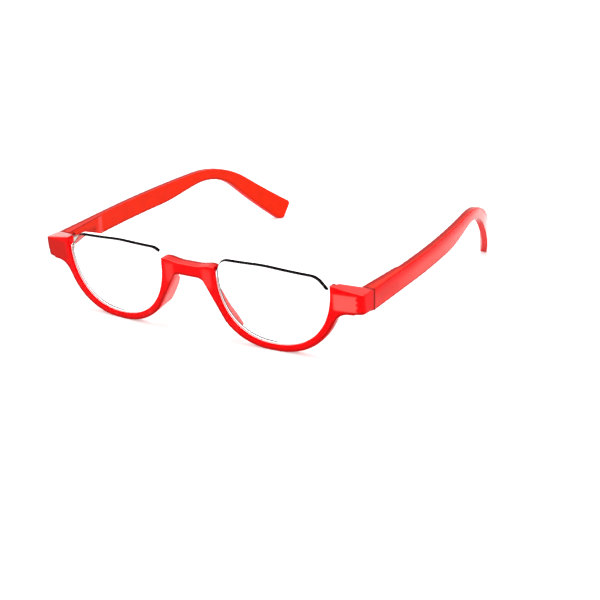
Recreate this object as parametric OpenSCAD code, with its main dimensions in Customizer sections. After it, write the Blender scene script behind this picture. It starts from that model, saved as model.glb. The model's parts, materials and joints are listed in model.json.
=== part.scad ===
// Half-moon reading glasses: a moulded lower-rim front with two cut lenses and
// two temples on sprung hinges. Open, standing on a table as they are put down:
// +X is the wearer's left, +Y runs back along the temples, +Z is up, and the
// table is the plane z = 0.

/* [Front] */
// Width over the two end pieces
front_w = 136.4; // [130:0.2:144]
// Thickness of the front, front face to back face
front_t = 3; // [2.8:0.1:3.6]
// Radius of the front's sweep, seen from above
bow_r = 500; // [400:10:800]
// Angle that the front leans back from upright
front_lean = 5.5; // [4:0.25:7]
// Width of the rim below the lens
rim_bottom_w = 2.5; // [2.2:0.1:3.5]
// Width of the rim beside the lens
rim_side_w = 3.1; // [2.8:0.1:3.8]
// Gap between the two lenses at their widest line
bridge_w = 22.8; // [21:0.2:25]
// Height of the bridge at its middle
bridge_h = 4.5; // [3.8:0.1:5.2]
// Depth of the bridge, front face to back face
bridge_depth = 4.2; // [3.6:0.1:5.4]
// Distance from the bridge's front face back to the hinge seam
end_depth = 12.6; // [12:0.1:14]
// Height of the end pieces and of the temples at the seam
end_h = 7.7; // [7:0.1:8.6]
// Radius of the end pieces' outer front corners, seen from above
end_corner_r = 1.2; // [0.8:0.1:2]
// Radius where the rim runs into the end piece's underside
end_fillet_r = 6; // [3:0.5:7]
// Fall of the end pieces' top outwards, per millimetre
end_fall = 0.17; // [0.1:0.01:0.2]
// Fall of the end pieces' top back to the seam, per millimetre
seam_fall = 0.33; // [0.25:0.01:0.4]
// Drop from the lens's widest line to the middle of the hinge
hinge_drop = 4.9; // [4.2:0.1:5.6]

/* [Nose pads] */
// Reach of the pads behind the front face
pad_reach = 8.2; // [7:0.2:9]
// Height of the pads
pad_h = 19; // [16:0.5:20]
// Thickness of the pads
pad_t = 1.4; // [1.2:0.1:2]
// Angle that the pads flare outwards towards the wearer
pad_flare = 3; // [2:1:12]

/* [Lenses] */
// Width of a lens, edge to edge
lens_w = 44.8; // [42:0.2:46]
// Height of a lens below its widest line
lens_low_h = 24.5; // [22:0.5:26]
// Height of the bare top of a lens above its widest line
lens_cap_h = 4.7; // [4:0.1:5.4]
// Thickness at the lens's middle
lens_t = 3.3; // [3:0.1:3.8]
// Radius of the front surface
lens_front_r = 150; // [140:5:180]
// Reach of the lens's edge ridge into the rim
ridge_reach = 0.6; // [0.4:0.05:0.8]
// Thickness of the edge ridge
ridge_t = 0.9; // [0.7:0.05:1]

/* [Temples] */
// Thickness of a temple, outside to inside
temple_t = 2.8; // [2.4:0.1:3.2]
// Distance from the seam to the end of the temple
temple_reach = 129.6; // [122:0.2:136]
// Distance from the seam to the middle of the ear bend
bend_reach = 97.2; // [92:0.1:100]
// Angle that the top edge rises towards the bend
temple_rise = 3; // [2:0.1:4]
// Height of the temple at its waist, just ahead of the ear bend
bend_h = 4.1; // [3.6:0.1:5]
// Distance from the seam at which the temple starts to curve inwards
curve_start = 27; // [20:1:34]
// Radius of the inward curve
curve_r = 360; // [300:10:500]
// Radius of the tighter inward curve at the tip
tip_curve_r = 60; // [50:5:90]
// Radius of the tip's two corners
tip_r = 1.6; // [1:0.1:2.2]
// Length of the hinge block on the inner side
block_l = 21; // [19:0.5:24]
// Thickness of the temple and its block at the seam
block_t = 5; // [4.8:0.1:5.4]
// Thickness of the temple and its block at the block's back end
block_end_t = 3.4; // [3.3:0.1:3.8]

/* [Hinge] */
// Radius of the hinge barrels
barrel_r = 1.3; // [1.2:0.05:1.4]
// Height of the three barrels together
barrel_h = 5; // [4.4:0.1:5.4]
// Height of the middle barrel
mid_barrel_h = 2; // [1.6:0.1:2.4]
// Radius of the hinge screw's shank
screw_r = 0.6; // [0.5:0.05:0.65]
// Radius of the hinge screw's head
head_r = 0.88; // [0.8:0.02:0.9]
// Height of the hinge screw's head
head_h = 0.45; // [0.35:0.05:0.6]
// Thickness of the toothed anchor plate
anchor_t = 1.2; // [1:0.1:1.4]
// Length of the anchor plate, front to back
anchor_l = 5.4; // [4.6:0.1:5.8]
// Depth of the teeth on the anchor plate
tooth = 0.8; // [0.4:0.1:1]
// Width of the spring housing
housing_w = 2.2; // [2.1:0.05:2.3]
// Height of the spring housing
housing_h = 3.4; // [2.8:0.1:4]
// Length of the spring housing
housing_l = 11.5; // [10:0.5:12]
// Radius of the housing's bore
spring_bore_r = 0.9; // [0.85:0.01:0.95]
// Radius of the slider's rod
rod_r = 0.45; // [0.35:0.05:0.5]
// Radius of the spring's wire
wire_r = 0.1; // [0.08:0.01:0.12]
// Number of curls in the spring
curls = 8; // [6:1:9]
// Length of the guide bush
bush_l = 1.5; // [1:0.1:2]
// Length of the stop nut
nut_l = 1.2; // [0.8:0.1:1.6]
// Travel of the temple back along the slider, against its spring
slide_travel = 1.2; // [1:0.1:1.3]

/* [Fits] */
// Gap at the seam between an end piece and its temple
seam_gap = 0.2; // [0.15:0.05:0.3]
// Clearance round a moving barrel or the slider's head
moving_gap = 0.2; // [0.15:0.05:0.25]
// Radial clearance of the screw and the rod in their holes
running_fit = 0.05; // [0.03:0.01:0.08]
// Clearance round a metal insert or a lens edge in the plastic
insert_fit = 0.03; // [0.02:0.01:0.06]
// Depth of the small flats that the glasses stand on
rest_flat = 0.12; // [0.08:0.02:0.2]

/* [Hidden] */
$fn = 96;
// Wide curves are drawn with this many sides
wide_fn = 720;
// Step between the computed points of an outline, in degrees
outline_step = 5;
// Roundness of the lens outline: 2 is an ellipse, and more is squarer
roundness = 2.25;
// Depths in the front's own frame, ahead of and behind everything in it
ahead_d = -5;
behind_d = 15;

// Lens and rim
lens_a = lens_w / 2;
lens_x = bridge_w / 2 + lens_a;
wide_v = rim_bottom_w + lens_low_h;
lens_top_v = wide_v + lens_cap_h;
lens_turn = asin(lens_x / bow_r);
lens_d = bow_r - sqrt(bow_r * bow_r - lens_x * lens_x);
lens_pole_d = -0.15;
lens_pole_v = wide_v - 10;
ridge_set = 0.42;
ridge_top_v = wide_v - 3.2;
// Corners of the lens's bare top: how far in from its side, how far above its top line, and radius
temporal_corner = [5, -1.6, 6];
crown_corner = [lens_a - 3, 0.2, 60];
nasal_corner = [1.8, -0.5, 5];

// Standing height and place of the leaning front
front_drop = lens_d * sin(front_lean) + rest_flat;
lean_y = (wide_v + 1.3) * tan(front_lean);
hinge_z = (wide_v - hinge_drop) * cos(front_lean);
end_top_z = hinge_z + end_h / 2;
end_low_z = hinge_z - end_h / 2;
corner_d = front_w * front_w / bow_r / 8;
corner_drop = front_drop - corner_d * sin(front_lean);

// Hinge
half_w = front_w / 2;
seam_y = end_depth;
temple_y = seam_y + seam_gap;
seam_in_x = half_w - block_t;
screw_wall = 0.2;
pin_x = seam_in_x - head_r - screw_wall;
pin_y = seam_y + seam_gap / 2;
barrel_low = hinge_z - barrel_h / 2;
slot_h = mid_barrel_h + 2 * running_fit;
head_front_y = pin_y + barrel_r + moving_gap;
head_bar_l = 1.8;
head_back_y = head_front_y + head_bar_l;
shaft_wall = 1.2;
housing_x = half_w - shaft_wall - housing_w / 2;
head_out_x = housing_x + housing_w / 2 - 0.2;
housing_y = head_back_y + slide_travel / 2;
spring_y = housing_y + bush_l;
rod_end_y = housing_y + housing_l - 2;
nut_y = rod_end_y - nut_l;
spring_l = nut_y - spring_y;
anchor_wall = 2.3;
anchor_x = half_w - anchor_wall - anchor_t;
anchor_back_y = seam_y - 0.5;
anchor_front_y = anchor_back_y - anchor_l;
anchor_h = end_h - 2;

// Overall depth, which sets the origin at the middle of the footprint
overall_y = temple_y + temple_reach;

moulded = [0.98, 0.1, 0.08, 0.85];
clear = [0.9, 0.95, 1, 0.35];
steel = [0.75, 0.75, 0.77];

// Outline helpers

function unit(v) = v / norm(v);

// The arc that rounds corner v, between its neighbours p and q, at radius r
function corner_arc(p, v, q, r, n = 8) =
    let (
        a = unit(p - v),
        b = unit(q - v),
        half = acos(a * b) / 2,
        c = v + unit(a + b) * r / sin(half),
        s = v + a * r / tan(half) - c,
        e = v + b * r / tan(half) - c,
        s_deg = atan2(s.y, s.x),
        turn = atan2(s.x * e.y - s.y * e.x, s * e)
    )
    [for (i = [0 : n]) c + r * [cos(s_deg + turn * i / n), sin(s_deg + turn * i / n)]];

// An outline of [x, y, radius] corners, with each radius made an arc
function rounded(path) =
    let (n = len(path))
    [for (i = [0 : n - 1])
        let (
            p = path[(i + n - 1) % n],
            v = path[i],
            q = path[(i + 1) % n]
        )
        each v.z == 0
            ? [[v.x, v.y]]
            : corner_arc([p.x, p.y], [v.x, v.y], [q.x, q.y], v.z)];

// A point on a rounded oval with half axes a and b, centred on the widest line, at an angle
function oval(a, b, deg) =
    [
        a * sign(cos(deg)) * pow(abs(cos(deg)), 2 / roundness),
        wide_v + b * sign(sin(deg)) * pow(abs(sin(deg)), 2 / roundness)
    ];

// The rim's opening about its own middle line, grown by grow and open at the top
function opening_outline(grow) =
    concat(
        [for (deg = [180 : outline_step : 360]) oval(lens_a + grow, lens_low_h + grow, deg)],
        [[lens_a + grow, lens_top_v], [-lens_a - grow, lens_top_v]]
    );

// The lens, with the three rounded corners of its bare top: temporal, crown and nasal
lens_outline = rounded(concat(
    [for (deg = [180 : outline_step : 355]) let (p = oval(lens_a, lens_low_h, deg)) [p.x, p.y, 0]],
    [
        [lens_a - temporal_corner.x, lens_top_v + temporal_corner.y, temporal_corner.z],
        [crown_corner.x - lens_a, lens_top_v + crown_corner.y, crown_corner.z],
        [nasal_corner.x - lens_a, lens_top_v + nasal_corner.y, nasal_corner.z]
    ]
));

// Right half of the front's outline, from the bridge top round to the bridge's underside
bridge_top_v = wide_v + 0.5;
bridge_low_v = bridge_top_v - bridge_h;
post_rise = 0.85;
end_low_v = (end_low_z + corner_drop) / cos(front_lean);
end_low_r = 0.8;
end_top_v = (end_top_z + corner_drop) / cos(front_lean);
half_front = concat(
    [
        [bridge_w / 2 - 7, bridge_top_v, 12],
        [bridge_w / 2 - 2.4, bridge_top_v + post_rise, 3],
        [bridge_w / 2 + 2, bridge_top_v + 0.5, 0],
        [lens_x, wide_v, 0],
        [lens_x + lens_a - 1, wide_v + 1.3, 0],
        [half_w, end_top_v + 0.6, 0],
        [half_w, end_low_v, end_low_r],
        [lens_x + lens_a + 2.6, end_low_v - 0.3, end_fillet_r]
    ],
    [for (deg = [-28 : -outline_step : -140])
        let (p = oval(lens_a + rim_side_w, wide_v, deg))
        [lens_x + p.x, p.y, 0]],
    [[bridge_w / 2 - 5.7, bridge_low_v, 3]]
);
mirrored_half = [for (i = [len(half_front) - 1 : -1 : 0]) [-half_front[i].x, half_front[i].y, half_front[i].z]];
front_outline = rounded(concat(half_front, mirrored_half));

// Placement helpers

// From the middle of the bridge's foot to the model's origin
module placed() {
    translate([0, -overall_y / 2, 0]) children();
}

// The front's own upright frame, x across, y back and z up, leant back and stood down
module leaning() {
    translate([0, lean_y, -front_drop]) rotate([front_lean, 0, 0]) children();
}

module mirrored(side) {
    if (side > 0) children();
    else mirror([1, 0, 0]) children();
}

// Puts children on a lens's own middle line, square to the front's sweep there
module at_lens() {
    translate([lens_x, lens_d, 0]) rotate([0, 0, lens_turn]) children();
}

// An outline in the front view, made a block from depth d0 to d1
module front_block(points, d0, d1) {
    translate([0, d1, 0]) rotate([90, 0, 0]) linear_extrude(d1 - d0) polygon(points);
}

// A side-view outline of [y, z] points, made a block from x0 to x1
module side_block(points, x0, x1) {
    translate([x0, 0, 0]) rotate([90, 0, 90]) linear_extrude(x1 - x0) polygon(points);
}

module box(low, high) {
    translate(low) cube(high - low);
}

module upright(x, y, z0, z1, r) {
    translate([x, y, z0]) cylinder(h = z1 - z0, r = r);
}

module lengthways(x, z, y0, y1, r) {
    translate([x, y0, z]) rotate([-90, 0, 0]) cylinder(h = y1 - y0, r = r);
}

// Lenses

// A ball as curved as the lens's front surface, with its front at depth d
module lens_ball(d) {
    translate([0, d + lens_front_r, lens_pole_v]) sphere(r = lens_front_r, $fn = 360);
}

// The edge ridge, or the rim's groove for it when grown
module ridge(grow) {
    low = [-lens_w, ahead_d, ahead_d];
    high = [lens_w, behind_d, ridge_top_v + grow];
    difference() {
        intersection() {
            front_block(opening_outline(ridge_reach + grow), ahead_d, behind_d);
            lens_ball(lens_pole_d + ridge_set - grow);
            box(low, high);
        }
        lens_ball(lens_pole_d + ridge_set + ridge_t + grow);
    }
}

module lens(side) {
    color(clear) placed() mirrored(side) leaning() at_lens() {
        intersection() {
            front_block(lens_outline, ahead_d, lens_pole_d + lens_t);
            lens_ball(lens_pole_d);
        }
        ridge(0);
    }
}

// Front

module swept_front() {
    intersection() {
        front_block(front_outline, ahead_d, behind_d);
        translate([0, bow_r, -5]) difference() {
            cylinder(h = 50, r = bow_r, $fn = wide_fn);
            translate([0, 0, -1]) cylinder(h = 52, r = bow_r - front_t, $fn = wide_fn);
        }
    }
}

// What makes the bridge deeper than the rims, tapering away over their nasal sides
module bridge_back() {
    flat_x = bridge_w / 2 - 1.4;
    end_x = bridge_w / 2 + 3;
    root_d = front_t / 2;
    intersection() {
        front_block(front_outline, root_d, bridge_depth);
        linear_extrude(wide_v + 5) polygon([
            [-end_x, root_d],
            [end_x, root_d],
            [end_x, front_t],
            [flat_x, bridge_depth],
            [-flat_x, bridge_depth],
            [-end_x, front_t]
        ]);
    }
}

// The end piece runs back from the front face to the seam
end_in_x = lens_x + lens_a;
end_in_z = end_top_z + end_fall * (half_w - end_in_x);
module end_block() {
    sweep_y = corner_d + front_t / 2;
    intersection() {
        linear_extrude(end_in_z + 1) polygon([
            [half_w, sweep_y],
            [half_w, seam_y],
            [seam_in_x, seam_y],
            [end_in_x + 1.2, sweep_y + 2],
            [end_in_x + 1.2, sweep_y]
        ]);
        front_block(rounded([
            [end_in_x, end_low_z, 0],
            [half_w, end_low_z, end_low_r],
            [half_w, end_top_z, 0],
            [end_in_x, end_in_z, 0]
        ]), 0, seam_y);
    }
}

// What lies above the end piece, whose top falls outwards and then to the seam
module above_end() {
    high = end_in_z + 5;
    rise_y = (high - end_top_z) / seam_fall;
    side_block([
        [seam_y, end_top_z],
        [seam_y + 1, end_top_z],
        [seam_y + 1, high],
        [seam_y - rise_y, high]
    ], lens_x, half_w + 1);
    front_block([
        [lens_x, end_in_z + end_fall * (end_in_x - lens_x)],
        [half_w, end_top_z],
        [half_w + 1, end_top_z],
        [half_w + 1, high],
        [lens_x, high]
    ], 0, seam_y);
}

// What rounds off the outer corner of the front face, as seen from above
module end_corner() {
    difference() {
        box([half_w - end_corner_r, corner_d - 1, 0], [half_w + 1, corner_d + end_corner_r, wide_v + 5]);
        upright(half_w - end_corner_r, corner_d + end_corner_r, -1, wide_v + 6, end_corner_r);
    }
}

// Points down a nose pad's face in the front view, from half the bridge's width and its underside
pad_top = [-4.9, 0];
pad_side = [-0.9, -11.1];
pad_low = [6.1, -18.3];
pad_face_r = 14;

// A fin behind the nasal side of the rim, flaring outwards towards the wearer
module nose_pad() {
    pad_v = bridge_low_v - 11.2;
    root_d = front_t - 0.5;
    from = [bridge_w / 2, bridge_low_v];
    top = from + pad_top;
    side = from + pad_side;
    low = from + pad_low;
    face = [[top.x, top.y, 0], [side.x, side.y, pad_face_r], [low.x, low.y, 0]];
    back = [
        [low.x + pad_t, low.y + pad_t, 0],
        [side.x + pad_t, side.y + pad_t / 2, pad_face_r],
        [top.x + pad_t, top.y, 0]
    ];
    pivot = [bridge_w / 2 - 2, root_d, 0];
    leaf = [for (deg = [0 : 10 : 359]) [root_d + (pad_reach - root_d) * cos(deg), pad_v + pad_h / 2 * sin(deg)]];
    intersection() {
        translate(pivot) rotate([0, 0, -pad_flare]) translate(-pivot) intersection() {
            front_block(rounded(concat(face, back)), 0, pad_reach + 1);
            side_block(leaf, 0, lens_x);
        }
        front_block(front_outline, front_t / 2, pad_reach + 2);
    }
}

module front_frame() {
    below = 2 * front_w;
    color(moulded) placed() difference() {
        union() {
            leaning() {
                swept_front();
                bridge_back();
            }
            for (side = [-1, 1]) mirrored(side) {
                leaning() nose_pad();
                end_block();
            }
        }
        for (side = [-1, 1]) mirrored(side) {
            leaning() {
                at_lens() {
                    front_block(opening_outline(insert_fit), ahead_d, behind_d);
                    ridge(insert_fit);
                }
                end_corner();
            }
            above_end();
            upright(pin_x, pin_y, end_low_z - 1, end_top_z + 1, barrel_r + moving_gap);
            anchor(insert_fit);
        }
        translate([-front_w, -front_w, -below]) cube([below, below, below]);
    }
}

// Hinge

// The toothed plate and its web, grown by grow where it is the mould's pocket
module anchor(grow) {
    low = hinge_z - anchor_h / 2 - grow;
    pitch = (anchor_h + 2 * grow) / 3;
    teeth = [for (i = [0 : 2]) each [
        [anchor_front_y + tooth - grow, low + i * pitch],
        [anchor_front_y - grow, low + (i + 0.5) * pitch]
    ]];
    back = [
        [anchor_front_y + tooth - grow, low + 3 * pitch],
        [anchor_back_y + grow, low + 3 * pitch],
        [anchor_back_y + grow, low]
    ];
    side_block(concat(teeth, back), anchor_x - grow, anchor_x + anchor_t + grow);
    web_low = [pin_x, pin_y - barrel_r + 0.1 - grow, hinge_z - mid_barrel_h / 2 - grow];
    web_high = [anchor_x + anchor_t + grow, seam_y - 0.15 + (grow > 0 ? 1 : 0), hinge_z + mid_barrel_h / 2 + grow];
    box(web_low, web_high);
}

module hinge_anchor(side) {
    half = mid_barrel_h / 2;
    color(steel) placed() mirrored(side) difference() {
        union() {
            anchor(0);
            upright(pin_x, pin_y, hinge_z - half, hinge_z + half, barrel_r);
        }
        upright(pin_x, pin_y, hinge_z - half - 1, hinge_z + half + 1, screw_r + running_fit);
    }
}

module hinge_slider(side) {
    web = barrel_r - 0.1;
    high = barrel_low + barrel_h;
    color(steel) placed() mirrored(side) difference() {
        union() {
            upright(pin_x, pin_y, barrel_low, high, barrel_r);
            box([pin_x - web, pin_y, barrel_low], [pin_x + web, head_back_y, high]);
            box([pin_x, head_front_y, barrel_low], [head_out_x, head_back_y, high]);
            lengthways(housing_x, hinge_z, head_back_y - 0.5, rod_end_y, rod_r);
        }
        box([pin_x - 2 * barrel_r, pin_y - 2 * barrel_r, hinge_z - slot_h / 2],
            [pin_x + 2 * barrel_r, head_front_y, hinge_z + slot_h / 2]);
        upright(pin_x, pin_y, barrel_low - 1, high + 1, screw_r + running_fit);
        upright(pin_x, pin_y, high - head_h - running_fit, high + 1, head_r + running_fit);
    }
}

module hinge_screw(side) {
    high = barrel_low + barrel_h;
    slot = 0.2;
    color(steel) placed() mirrored(side) difference() {
        union() {
            upright(pin_x, pin_y, barrel_low + 0.1, high - head_h / 2, screw_r);
            upright(pin_x, pin_y, high - head_h, high, head_r);
        }
        box([pin_x - 1, pin_y - slot / 2, high - slot], [pin_x + 1, pin_y + slot / 2, high + 1]);
    }
}

module spring_housing(side) {
    half = [housing_w / 2, 0, housing_h / 2];
    low = [housing_x, housing_y, hinge_z] - half;
    high = [housing_x, housing_y + housing_l, hinge_z] + half;
    color(steel) placed() mirrored(side) difference() {
        box(low, high);
        lengthways(housing_x, hinge_z, housing_y - 1, rod_end_y + 1, spring_bore_r);
    }
}

module guide_bush(side) {
    color(steel) placed() mirrored(side) difference() {
        lengthways(housing_x, hinge_z, housing_y, spring_y, spring_bore_r - insert_fit);
        lengthways(housing_x, hinge_z, housing_y - 1, spring_y + 1, rod_r + running_fit);
    }
}

module stop_nut(side) {
    color(steel) placed() mirrored(side) difference() {
        lengthways(housing_x, hinge_z, nut_y, rod_end_y, spring_bore_r - running_fit);
        lengthways(housing_x, hinge_z, nut_y - 1, rod_end_y + 1, rod_r + insert_fit);
    }
}

// The spring is one wire, wound between the bush and the nut
rings_per_curl = 8;
wire_sides = 6;
coil_r = (rod_r + spring_bore_r) / 2 + 0.02;
end_gap = 0.03;
wound_l = spring_l - 2 * wire_r - 2 * end_gap;
rings = curls * rings_per_curl;
function coil_at(i) =
    let (deg = 360 * i / rings_per_curl)
    [coil_r * cos(deg), wound_l * i / rings, coil_r * sin(deg)];
wire_points = [for (i = [0 : rings]) let (deg = 360 * i / rings_per_curl) each
    [for (k = [0 : wire_sides - 1]) let (a = 360 * k / wire_sides)
        coil_at(i) + wire_r * (cos(a) * [cos(deg), 0, sin(deg)] + sin(a) * [0, 1, 0])]];
wire_faces = concat(
    [for (i = [0 : rings - 1], k = [0 : wire_sides - 1])
        let (a = i * wire_sides + k, b = i * wire_sides + (k + 1) % wire_sides)
        each [[a, b, b + wire_sides], [a, b + wire_sides, a + wire_sides]]],
    [for (k = [1 : wire_sides - 2]) [0, k + 1, k]],
    [for (k = [1 : wire_sides - 2]) let (e = rings * wire_sides) [e, e + k, e + k + 1]]
);
curl_gap = min([for (i = [0 : rings - rings_per_curl]) norm(coil_at(i + rings_per_curl) - coil_at(i))]) - 2 * wire_r;
echo(spring_curl_gap = curl_gap);

module hinge_spring(side) {
    color(steel) placed() mirrored(side)
        translate([housing_x, spring_y + wire_r + end_gap, hinge_z])
        polyhedron(wire_points, wire_faces);
}

// Temples

// How far the outer face has curved inwards at a distance from the seam
curve_2 = temple_reach - 25;
function inward(s) =
    let (
        first = min(max(s - curve_start, 0), curve_2 - curve_start),
        tip = max(s - curve_2, 0)
    )
    first * first / 2 / curve_r + tip * (curve_2 - curve_start) / curve_r + tip * tip / 2 / tip_curve_r;

plan_step = 5;
plan_s = [for (s = [0 : plan_step : temple_reach + plan_step]) s];
band_plan = concat(
    [for (s = plan_s) [half_w - inward(s), temple_y + s]],
    [for (i = [len(plan_s) - 1 : -1 : 0]) [half_w - temple_t - inward(plan_s[i]), temple_y + plan_s[i]]]
);
block_plan = [
    [half_w - temple_t / 2, temple_y],
    [half_w - temple_t / 2, temple_y + block_l + 1],
    [half_w - temple_t, temple_y + block_l + 1],
    [half_w - block_end_t, temple_y + block_l],
    [seam_in_x, temple_y]
];

// Points on an arc of the tip's outline
function tip_arc(c, from, to) =
    [for (i = [0 : 8]) let (deg = from + (to - from) * i / 8) [c.x + tip_r * cos(deg), c.y + tip_r * sin(deg), 0]];

// Direction of the line from p that touches the circle of radius r round c, on its right or left
function tangent_deg(p, c, r) = atan2(c.y - p.y, c.x - p.x) + asin(r / norm(c - p));

// Side view of a temple: its waist, the ear bend's two edges and the tip
bend_y = temple_y + bend_reach;
bend_top = [bend_y, end_top_z + bend_reach * tan(temple_rise)];
bend_low = [bend_y - 0.95 * bend_h, bend_top.y - 0.79 * bend_h];
waist = [bend_y - 33.5, bend_low.y - 5.85];
tip_high = [temple_y + temple_reach - tip_r, 6.6];
tip_low = [tip_high.x - 2, tip_r - rest_flat];
high_deg = 90 + tangent_deg(bend_top, tip_high, tip_r);
low_deg = -90 + tangent_deg(bend_low, tip_low, -tip_r);
end_deg = atan2(tip_high.y - tip_low.y, tip_high.x - tip_low.x) - 90;
temple_side = rounded(concat(
    [
        [temple_y, end_low_z, 0],
        [waist.x, waist.y, 80],
        [bend_low.x, bend_low.y, 28]
    ],
    tip_arc(tip_low, low_deg, end_deg),
    tip_arc(tip_high, end_deg, high_deg),
    [
        [bend_top.x, bend_top.y, 46],
        [temple_y, end_top_z, 0]
    ]
));

module temple(side) {
    reach = front_w;
    head_low = [pin_x - 2 * barrel_r, temple_y - 1, barrel_low - moving_gap];
    head_high = [head_out_x + moving_gap, head_back_y + moving_gap, barrel_low + barrel_h + moving_gap];
    half = [housing_w / 2 + insert_fit, insert_fit, housing_h / 2 + insert_fit];
    color(moulded) placed() mirrored(side) difference() {
        intersection() {
            side_block(temple_side, 0, half_w + 1);
            translate([0, 0, -5]) linear_extrude(50) union() {
                polygon(band_plan);
                polygon(block_plan);
            }
        }
        box(head_low, head_high);
        box([housing_x, housing_y, hinge_z] - half, [housing_x, housing_y + housing_l, hinge_z] + half);
        lengthways(housing_x, hinge_z, head_back_y, housing_y + 0.5, spring_bore_r);
        translate([-reach, 0, -reach]) cube([2 * reach, 2 * reach, reach]);
    }
}

front_frame();
lens(1);  // lens_left
lens(-1);  // lens_right
temple(1);  // temple_left
temple(-1);  // temple_right
hinge_anchor(1);  // hinge_anchor_left
hinge_anchor(-1);  // hinge_anchor_right
hinge_screw(1);  // hinge_screw_left
hinge_screw(-1);  // hinge_screw_right
hinge_slider(1);  // hinge_slider_left
hinge_slider(-1);  // hinge_slider_right
spring_housing(1);  // spring_housing_left
spring_housing(-1);  // spring_housing_right
guide_bush(1);  // guide_bush_left
guide_bush(-1);  // guide_bush_right
hinge_spring(1);  // hinge_spring_left
hinge_spring(-1);  // hinge_spring_right
stop_nut(1);  // stop_nut_left
stop_nut(-1);  // stop_nut_right
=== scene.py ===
"""Half-moon reading glasses in clear red moulded plastic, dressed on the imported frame.

Metres throughout. +X is the wearer's left, +Y runs back along the temples, +Z is up,
and the table is z = 0. Pieces that replace a CAD node are made from a merged copy of
it, with the soft edges that moulding and tumbling leave. The looks are matched to one
photo, from its own viewpoint: much of what the plastic and the lens edges do with light
is painted, and some of it differs from left to right.
"""

import json
import logging
import math
from dataclasses import dataclass
from enum import Enum
from typing import Any, Callable

import bpy
from mathutils import Matrix, Vector
from mathutils.bvhtree import BVHTree

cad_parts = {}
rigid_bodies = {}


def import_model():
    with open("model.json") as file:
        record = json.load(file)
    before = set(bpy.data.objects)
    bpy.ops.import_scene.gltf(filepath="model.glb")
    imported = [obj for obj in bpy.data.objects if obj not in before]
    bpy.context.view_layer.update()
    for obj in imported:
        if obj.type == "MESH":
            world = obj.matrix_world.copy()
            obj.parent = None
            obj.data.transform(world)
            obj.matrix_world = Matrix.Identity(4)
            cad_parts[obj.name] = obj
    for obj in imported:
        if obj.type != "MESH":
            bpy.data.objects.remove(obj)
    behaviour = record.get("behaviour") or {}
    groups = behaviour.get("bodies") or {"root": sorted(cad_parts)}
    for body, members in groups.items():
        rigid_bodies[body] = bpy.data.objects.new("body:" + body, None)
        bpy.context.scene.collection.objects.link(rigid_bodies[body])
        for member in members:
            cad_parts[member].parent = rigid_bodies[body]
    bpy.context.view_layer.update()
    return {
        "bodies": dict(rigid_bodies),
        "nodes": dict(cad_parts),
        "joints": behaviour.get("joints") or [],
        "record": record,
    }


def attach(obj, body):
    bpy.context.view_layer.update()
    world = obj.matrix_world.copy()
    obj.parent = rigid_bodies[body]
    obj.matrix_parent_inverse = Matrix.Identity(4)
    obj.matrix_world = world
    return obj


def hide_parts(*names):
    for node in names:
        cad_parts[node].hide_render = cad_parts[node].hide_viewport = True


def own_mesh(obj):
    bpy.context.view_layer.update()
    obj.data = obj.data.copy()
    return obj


MM = 0.001
MERGE = 0.002 * MM  # points of a CAD mesh closer than this are one point
FLAT = math.radians(0.4)  # faces closer to each other in angle than this are one face
WORN_ANGLE = math.radians(50)  # a worn piece is shaded smooth across edges flatter than this
CUT_ANGLE = math.radians(25)  # the same for a cut lens
COIL_ANGLE = math.radians(40)  # the same for a coil
SOFTEN = 0.5  # how far one pass of smoothing moves a point
NOISE_SPAN = (0.3, 0.7)  # what a noise texture's values run between, but for rare peaks
GLOSS_SPAN = (0.7, 1.4)  # how far a surface's roughness wanders, as a share of its typical value
FACING = (0.5, 0.9)  # share of a normal along an axis at which a face starts and fully counts

log = logging.getLogger("glasses")


class Side(Enum):
    """The wearer's two sides, and the sign of x on each."""

    LEFT = 1
    RIGHT = -1

    @property
    def word(self) -> str:
        """The side's name as it stands in node and body names."""
        return self.name.lower()


class MaterialSlot(Enum):
    """The record's material slots."""

    RED_PLASTIC = "red_plastic"
    CLEAR_LENS = "clear_lens"
    HINGE_STEEL = "hinge_steel"


# Small tools


def linear(code: str) -> tuple[float, float, float, float]:
    """Turn an sRGB hex colour into the linear colour that shaders take.

    Args:
        code: Colour written as "#rrggbb".

    Returns:
        Linear red, green and blue, with an alpha of 1.
    """
    parts = [int(code[i : i + 2], 16) / 255 for i in (1, 3, 5)]
    red, green, blue = (p / 12.92 if p <= 0.04045 else ((p + 0.055) / 1.055) ** 2.4 for p in parts)
    return red, green, blue, 1.0


def add_node(
    tree: bpy.types.NodeTree,
    kind: str,
    settings: dict[str, Any] | None = None,
    inputs: dict[str | int, Any] | None = None,
) -> bpy.types.Node:
    """Add one node with its settings and links.

    Args:
        tree: Node tree that the node joins.
        kind: Blender's identifier of the node.
        settings: Values of the node's own properties.
        inputs: A value or an output socket for each input, by name or index.

    Returns:
        The new node.
    """
    node = tree.nodes.new(kind)
    for name, value in (settings or {}).items():
        setattr(node, name, value)
    for name, value in (inputs or {}).items():
        if isinstance(value, bpy.types.NodeSocket):
            tree.links.new(value, node.inputs[name])
        else:
            node.inputs[name].default_value = value
    return node


def new_material(name: str) -> tuple[bpy.types.Material, bpy.types.NodeTree, bpy.types.Node]:
    """Make an empty node material.

    Args:
        name: Name of the material.

    Returns:
        The material, its node tree and its output node.
    """
    material = bpy.data.materials.new(name)
    material.use_nodes = True
    material.node_tree.nodes.clear()
    output = add_node(material.node_tree, "ShaderNodeOutputMaterial")
    return material, material.node_tree, output


def only(piece: bpy.types.Object) -> None:
    """Deselect everything else and make one object active.

    Args:
        piece: Object that operators act on next.
    """
    if bpy.context.mode != "OBJECT":
        bpy.ops.object.mode_set(mode="OBJECT")
    bpy.ops.object.select_all(action="DESELECT")
    bpy.context.view_layer.objects.active = piece
    piece.select_set(True)


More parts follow.
